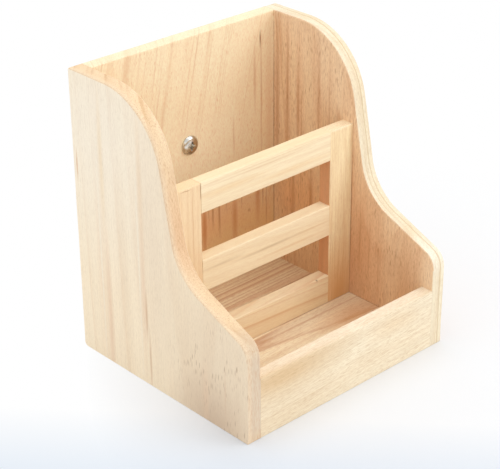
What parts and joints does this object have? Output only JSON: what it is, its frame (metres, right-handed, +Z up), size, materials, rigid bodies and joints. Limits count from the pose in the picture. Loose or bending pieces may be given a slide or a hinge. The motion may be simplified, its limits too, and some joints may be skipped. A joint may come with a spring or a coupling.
{
  "type": "hay feeder box",
  "caption": "Open wooden hay feeder box with curved side panels, a slatted divider between hay bin and food tray, and a bolt with a wing nut that clamps it to cage bars.",
  "frame": {"origin": "centre of the boards' rectangular footprint, on the underside of the floor, where the box stands on a table", "axes": "+X to the right as seen from the front, across the box; +Y from the food tray's lip to the back panel, the way the bolt points; +Z up"},
  "size_m": [0.16, 0.167, 0.18],
  "materials": {
    "side_pine": "sanded bare pine, grain upright",
    "back_pine": "sanded bare pine, grain upright",
    "floor_pine": "sanded bare pine, striped grain across the box",
    "lip_pine": "sanded bare pine, grain across the box",
    "divider_pine": "sanded bare pine, grain along each strip",
    "dowel_wood": "plain beech dowel",
    "bolt_steel": "nickel plated",
    "washer_steel": "zinc plated",
    "wing_nut_steel": "zinc plated, cast surface"
  },
  "bodies": {
    "box": {"left_side_panel": "side_pine", "right_side_panel": "side_pine", "back_panel": "back_pine", "floor_panel": "floor_pine", "front_lip": "lip_pine", "left_stile": "divider_pine", "right_stile": "divider_pine", "top_rail": "divider_pine", "middle_rail": "divider_pine", "bottom_rail": "divider_pine", "left_back_dowels": "dowel_wood", "right_back_dowels": "dowel_wood", "left_floor_dowels": "dowel_wood", "right_floor_dowels": "dowel_wood", "left_lip_dowels": "dowel_wood", "right_lip_dowels": "dowel_wood", "back_floor_dowels": "dowel_wood", "front_floor_dowels": "dowel_wood", "left_stile_dowels": "dowel_wood", "right_stile_dowels": "dowel_wood", "left_rail_dowels": "dowel_wood", "right_rail_dowels": "dowel_wood"},
    "bolt": {"mounting_bolt": "bolt_steel"},
    "washer": {"clamp_washer": "washer_steel"},
    "nut": {"wing_nut": "wing_nut_steel"}
  },
  "joints": [
    {"name": "bolt_turn", "type": "hinge", "parent": "box", "child": "bolt", "pos_m": [0, 0.073, 0.111], "axis": [0, 1, 0], "continuous": true},
    {"name": "washer_slide", "type": "slide", "parent": "bolt", "child": "washer", "axis": [0, 1, 0], "range_m": [0, 0.01]},
    {"name": "nut_spin", "type": "hinge", "parent": "washer", "child": "nut", "pos_m": [0, 0.0745, 0.111], "axis": [0, 1, 0], "range_deg": [0, 3600]}
  ],
  "couplings": [
    {"joint": "washer_slide", "follows": "nut_spin", "m_per_rad": 0.00015915}
  ]
}
